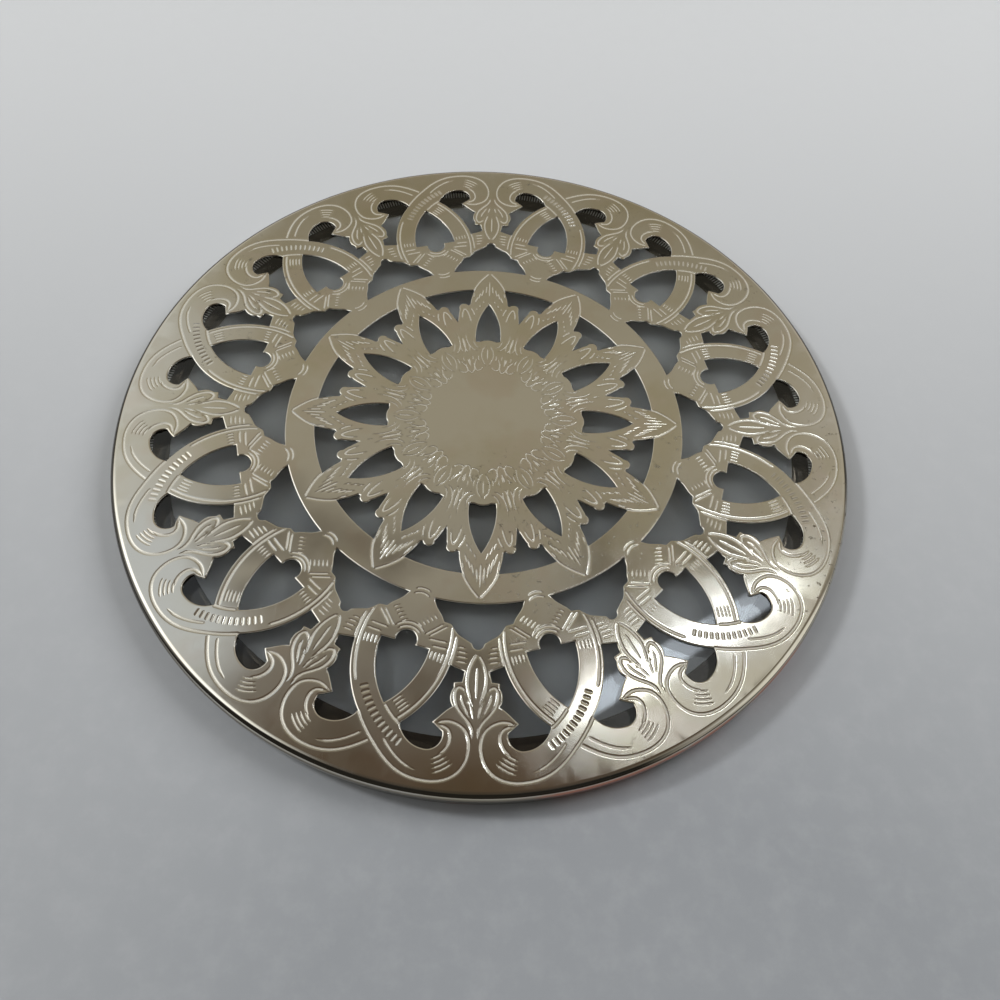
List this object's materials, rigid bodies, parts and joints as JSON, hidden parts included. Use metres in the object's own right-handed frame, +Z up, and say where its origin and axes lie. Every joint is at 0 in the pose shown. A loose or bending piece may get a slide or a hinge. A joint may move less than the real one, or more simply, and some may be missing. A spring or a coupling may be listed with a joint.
{
  "type": "trivet",
  "caption": "Round table trivet: a pierced, chased, silver-plated sheet with palmettes and strapwork, spun over the edge of a clear glass disc.",
  "frame": {"origin": "centre of the underside, on the surface that the trivet stands on", "axes": "+Z up through the middle of the disc; +X and +Y each run along the middle line of a palmette"},
  "size_m": [0.178, 0.178, 0.0061],
  "materials": {
    "clear_glass": "smooth clear glass with a ground edge",
    "silver_plate": "polished silver plate, slightly warm with age, worn to copper on the rim"
  },
  "bodies": {
    "root": {"glass_disc": "clear_glass", "pierced_top": "silver_plate"}
  },
  "joints": []
}
